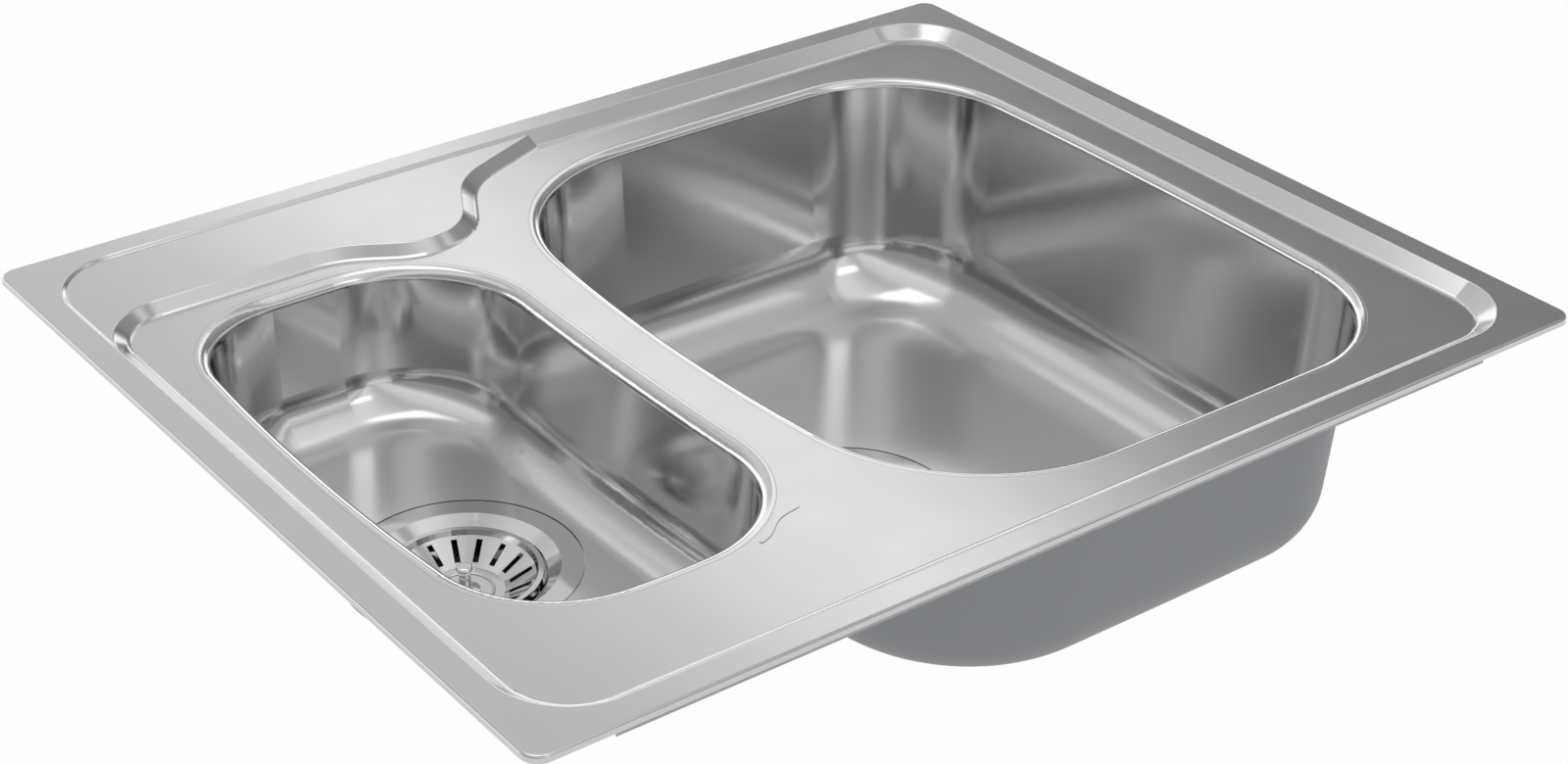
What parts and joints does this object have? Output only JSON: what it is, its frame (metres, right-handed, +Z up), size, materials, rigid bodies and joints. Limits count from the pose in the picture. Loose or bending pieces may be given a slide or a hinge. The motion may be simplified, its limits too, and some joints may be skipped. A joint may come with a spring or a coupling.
{
  "type": "kitchen sink",
  "caption": "Inset stainless kitchen sink with a deep main bowl, a half bowl, a tap ledge and lift-out basket strainers; clips below the rim hold it in the worktop.",
  "frame": {"origin": "centre of the rim, on the worktop's surface", "axes": "+X to the right, +Y to the rear, where the tap ledge is, +Z up out of the worktop"},
  "size_m": [0.615, 0.5, 0.194],
  "materials": {
    "deck_steel": "satin",
    "bowl_steel": "satin",
    "polished_steel": "polished",
    "zinc_steel": "satin",
    "screw_steel": "satin",
    "seal_foam": "matte",
    "pad_bitumen": "matte",
    "rubber": "matte",
    "plastic": "satin"
  },
  "bodies": {
    "sink": {"deck": "deck_steel", "main_bowl": "bowl_steel", "half_bowl": "bowl_steel", "rim_seal": "seal_foam", "rail_front": "zinc_steel", "rail_rear": "zinc_steel", "rail_left": "zinc_steel", "rail_right": "zinc_steel", "main_pad": "pad_bitumen", "half_pad": "pad_bitumen", "clip_bracket_1": "zinc_steel", "clip_bracket_2": "zinc_steel", "clip_bracket_3": "zinc_steel", "clip_bracket_4": "zinc_steel", "clip_bracket_5": "zinc_steel", "clip_bracket_6": "zinc_steel", "clip_bracket_7": "zinc_steel", "clip_bracket_8": "zinc_steel", "clip_pins": "zinc_steel", "main_waste_flange": "polished_steel", "main_upper_seal": "rubber", "main_lower_seal": "rubber", "main_waste_body": "plastic", "main_waste_screw": "screw_steel", "half_waste_flange": "polished_steel", "half_upper_seal": "rubber", "half_lower_seal": "rubber", "half_waste_body": "plastic", "half_waste_screw": "screw_steel"},
    "clip_1": {"clip_arm_1": "zinc_steel"},
    "clamp_1": {"clip_screw_1": "zinc_steel"},
    "clip_2": {"clip_arm_2": "zinc_steel"},
    "clamp_2": {"clip_screw_2": "zinc_steel"},
    "clip_3": {"clip_arm_3": "zinc_steel"},
    "clamp_3": {"clip_screw_3": "zinc_steel"},
    "clip_4": {"clip_arm_4": "zinc_steel"},
    "clamp_4": {"clip_screw_4": "zinc_steel"},
    "clip_5": {"clip_arm_5": "zinc_steel"},
    "clamp_5": {"clip_screw_5": "zinc_steel"},
    "clip_6": {"clip_arm_6": "zinc_steel"},
    "clamp_6": {"clip_screw_6": "zinc_steel"},
    "clip_7": {"clip_arm_7": "zinc_steel"},
    "clamp_7": {"clip_screw_7": "zinc_steel"},
    "clip_8": {"clip_arm_8": "zinc_steel"},
    "clamp_8": {"clip_screw_8": "zinc_steel"},
    "main_strainer": {"main_basket": "polished_steel", "main_basket_post": "polished_steel", "main_plug": "rubber"},
    "half_strainer": {"half_basket": "polished_steel", "half_basket_post": "polished_steel", "half_plug": "rubber"}
  },
  "joints": [
    {"name": "clip_1_swing", "type": "hinge", "parent": "sink", "child": "clip_1", "pos_m": [-0.2175, -0.2314, -0.008], "axis": [-1, 0, 0], "range_deg": [0, 90]},
    {"name": "clamp_1_screw", "type": "slide", "parent": "clip_1", "child": "clamp_1", "axis": [0, 1, 0], "range_m": [0, 0.014]},
    {"name": "clip_2_swing", "type": "hinge", "parent": "sink", "child": "clip_2", "pos_m": [-0.082, -0.2314, -0.008], "axis": [-1, 0, 0], "range_deg": [0, 90]},
    {"name": "clamp_2_screw", "type": "slide", "parent": "clip_2", "child": "clamp_2", "axis": [0, 1, 0], "range_m": [0, 0.014]},
    {"name": "clip_3_swing", "type": "hinge", "parent": "sink", "child": "clip_3", "pos_m": [0.2445, -0.2314, -0.008], "axis": [-1, 0, 0], "range_deg": [0, 90]},
    {"name": "clamp_3_screw", "type": "slide", "parent": "clip_3", "child": "clamp_3", "axis": [0, 1, 0], "range_m": [0, 0.014]},
    {"name": "clip_4_swing", "type": "hinge", "parent": "sink", "child": "clip_4", "pos_m": [0.2889, -0.186, -0.008], "axis": [0, -1, 0], "range_deg": [0, 90]},
    {"name": "clamp_4_screw", "type": "slide", "parent": "clip_4", "child": "clamp_4", "axis": [-1, 0, 0], "range_m": [0, 0.014]},
    {"name": "clip_5_swing", "type": "hinge", "parent": "sink", "child": "clip_5", "pos_m": [0.2445, 0.2314, -0.008], "axis": [1, 0, 0], "range_deg": [0, 90]},
    {"name": "clamp_5_screw", "type": "slide", "parent": "clip_5", "child": "clamp_5", "axis": [0, -1, 0], "range_m": [0, 0.014]},
    {"name": "clip_6_swing", "type": "hinge", "parent": "sink", "child": "clip_6", "pos_m": [-0.082, 0.2314, -0.008], "axis": [1, 0, 0], "range_deg": [0, 90]},
    {"name": "clamp_6_screw", "type": "slide", "parent": "clip_6", "child": "clamp_6", "axis": [0, -1, 0], "range_m": [0, 0.014]},
    {"name": "clip_7_swing", "type": "hinge", "parent": "sink", "child": "clip_7", "pos_m": [-0.2175, 0.2314, -0.008], "axis": [1, 0, 0], "range_deg": [0, 90]},
    {"name": "clamp_7_screw", "type": "slide", "parent": "clip_7", "child": "clamp_7", "axis": [0, -1, 0], "range_m": [0, 0.014]},
    {"name": "clip_8_swing", "type": "hinge", "parent": "sink", "child": "clip_8", "pos_m": [-0.2889, 0.18, -0.008], "axis": [0, 1, 0], "range_deg": [0, 90]},
    {"name": "clamp_8_screw", "type": "slide", "parent": "clip_8", "child": "clamp_8", "axis": [1, 0, 0], "range_m": [0, 0.014]},
    {"name": "main_strainer_lift", "type": "slide", "parent": "sink", "child": "main_strainer", "axis": [0, 0, 1], "range_m": [0, 0.19]},
    {"name": "half_strainer_lift", "type": "slide", "parent": "sink", "child": "half_strainer", "axis": [0, 0, 1], "range_m": [0, 0.136]}
  ]
}
